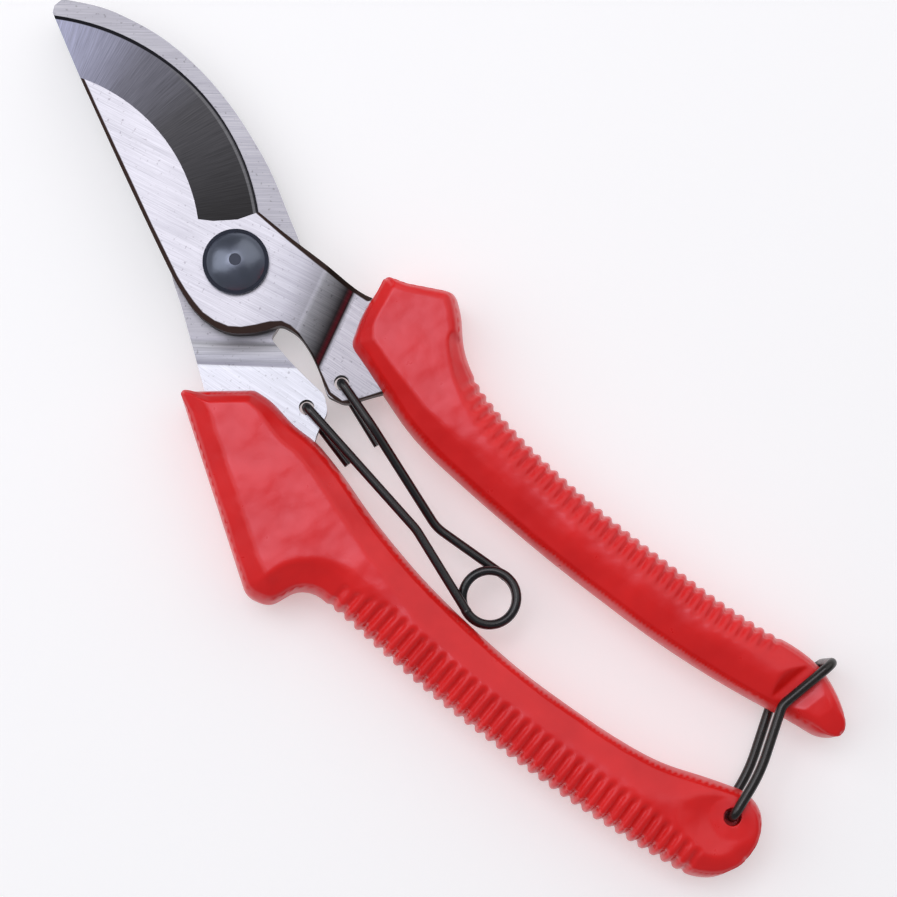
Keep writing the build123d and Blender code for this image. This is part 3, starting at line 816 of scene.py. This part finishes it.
def upper_height(xy, d_out, d_in, outer, inner):
    """Half height of the upper grip: flat top, sloped flanks and a nose with the wire's seat."""
    y = xy[:, 1]
    top = inner[inner[:, 1] > -24.3]
    flank = inner[inner[:, 1] <= -24.3]
    shoulder = outer[outer[:, 1] > -38.0]
    side = outer[outer[:, 1] <= -38.0]
    w_side = np.interp(-y, [20, 32, 46, 60, 90, 115, 135], [1.2, 1.8, 4.4, 5.2, 5.2, 5.6, 5.0])
    w_in = np.interp(-y, [20, 33, 45, 60, 90, 120, 135], [3.4, 3.5, 4.7, 6.4, 6.6, 6.0, 5.0])
    base = HALF - DROP
    crease = np.interp(-y, [20, 44, 58, 75, 130], [0.10, 0.14, 0.5, 0.75, 0.8])
    soft = 1.5 * np.clip(1 - away(xy, shoulder) / 2.4, 0, 1) ** 2
    half = soft_min(
        [
            np.full(len(xy), HALF), base + DROP * away(xy, side) / w_side,
            base + DROP * away(xy, top) / 2.6, base + DROP * away(xy, flank) / w_in,
        ],
        crease,
    )
    half = np.minimum(half, HALF - soft)
    half = half - rim(d_out) - rim(d_in)
    # nose: shoulder, wire seat, then a bulge that rounds off to the tip
    cap = np.interp(
        -y, [119.5, 122.6, 126.6, 128.2, 131.0, 136.5], [7.6, 5.25, 5.25, 5.68, 5.6, 4.2]
    )
    half = soft_min([half, cap], 0.10)
    return np.minimum(half, HALF)


def mouth_cutter(x, y, radius):
    """Two upright cylinders, above and below, for blind mouths in a grip's pad."""
    bm = bmesh.new()
    for level in (6.4, -6.4):
        bmesh.ops.create_cone(
            bm, cap_ends=True, segments=48, radius1=radius * MM, radius2=radius * MM,
            depth=8.0 * MM, matrix=Matrix.Translation((0, 0, level * MM)),
        )
    data = bpy.data.meshes.new("cutter")
    bm.to_mesh(data)
    bm.free()
    o = bpy.data.objects.new("cutter", data)
    o.location = world(x, y, 0)
    bpy.context.scene.collection.objects.link(o)
    bpy.context.view_layer.update()
    return o


lower = build_grip(
    "lower_grip_shell", LOWER_OUTLINE, (-23.0, -10.8), (-2.5, -141.0), True,
    [
        ((-26.4, -19.5), (-18.5, -14.6)), ((-30.5, -28.7), (-12.9, -19.6)),
        ((-34.5, -38.0), (-11.5, -28.5)), ((-38.0, -46.5), (-10.5, -36.0)),
        ((-35.5, -51.2), (-10.9, -42.0)), ((-31.0, -52.2), (-11.5, -46.5)),
        ((-28.6, -55.3), (-12.0, -51.5)), ((-27.8, -60.1), (-12.4, -58.5)),
        ((-26.9, -70.0), (-12.3, -68.2)), ((-25.1, -83.8), (-11.0, -81.5)),
        ((-22.2, -98.6), (-8.5, -96.0)), ((-19.1, -113.3), (-4.9, -109.8)),
        ((-14.9, -128.0), (1.2, -123.5)), ((-12.0, -136.6), (5.8, -131.5)),
    ],
    {
        "first": (-28.4, -57.0), "last": (-12.4, -136.4), "pitch": 2.35,
        "depth": 0.85, "reach": 7.6, "fade": 1.8,
    },
    lower_height,
)
cut_away(lower, mouth_cutter(*LATCH, LATCH_MOUTH_R))
upper = build_grip(
    "upper_grip_shell", UPPER_OUTLINE, (18.5, -19.9), (25.4, -136.2), False,
    [
        ((21.8, -24.2), (11.5, -21.8)), ((25.9, -29.6), (6.2, -24.5)),
        ((24.6, -34.2), (4.6, -32.0)), ((20.7, -39.2), (3.6, -38.5)),
        ((18.5, -45.2), (3.2, -44.8)), ((18.0, -52.0), (3.5, -52.0)),
        ((18.2, -61.0), (4.6, -62.0)), ((19.4, -72.0), (6.1, -73.5)),
        ((20.9, -82.0), (7.8, -84.0)), ((25.2, -103.5), (12.6, -106.2)),
        ((28.2, -114.2), (15.6, -116.5)), ((30.2, -119.7), (17.6, -121.5)),
        ((31.0, -125.1), (19.9, -127.3)), ((30.0, -130.2), (21.3, -132.0)),
    ],
    {
        "first": (18.5, -43.6), "last": (28.8, -116.8), "pitch": 2.1,
        "depth": 0.6, "reach": 6.4, "fade": 3.4,
    },
    upper_height,
)
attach(lower, "hook_side")
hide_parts("lower_grip")
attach(upper, "blade_side")
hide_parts("upper_grip")


# ---------------------------------------------------------------- studio
floor_mesh = bpy.data.meshes.new("floor")
floor_mesh.from_pydata([(-3, -3, 0), (3, -3, 0), (3, 3, 0), (-3, 3, 0)], [], [(0, 1, 2, 3)])
floor = bpy.data.objects.new("floor", floor_mesh)
floor.location.z = -0.05 * MM
bpy.context.scene.collection.objects.link(floor)
floor_mat, ft, fp = material("floor_paper")
fp.inputs["Base Color"].default_value = (0.72, 0.72, 0.73, 1)
fp.inputs["Roughness"].default_value = 0.9
fp.inputs["Emission Color"].default_value = (1, 1, 1, 1)
fp.inputs["Emission Strength"].default_value = 0.36
floor_mesh.materials.append(floor_mat)


def area(name, place, target, size, power, colour):
    """A square soft light; place and target are in mm from the pivot."""
    d = bpy.data.lights.new(name, "AREA")
    d.shape = "SQUARE"
    d.size = size
    d.energy = power
    d.color = colour
    o = bpy.data.objects.new(name, d)
    o.location = world(*place)
    o.rotation_mode = "QUATERNION"
    o.rotation_quaternion = (world(*target) - o.location).to_track_quat("-Z", "Y")
    bpy.context.scene.collection.objects.link(o)


area("overhead", (40, 190, 900), (40, 20, 0), 0.45, 1.9, (0.97, 0.93, 1.0))
area("key", (-330, 420, 600), (0, -40, 0), 0.8, 2.5, (0.98, 0.98, 1.0))
area("side", (650, 60, 620), (0, -40, 0), 1.1, 2.9, (1.0, 0.98, 0.96))

studio = bpy.data.worlds.new("studio")
bpy.context.scene.world = studio
studio.use_nodes = True
background = studio.node_tree.nodes["Background"]
background.inputs["Color"].default_value = (0.92, 0.94, 1.0, 1)
background.inputs["Strength"].default_value = 0.27
bpy.context.scene.view_settings.view_transform = "Standard"
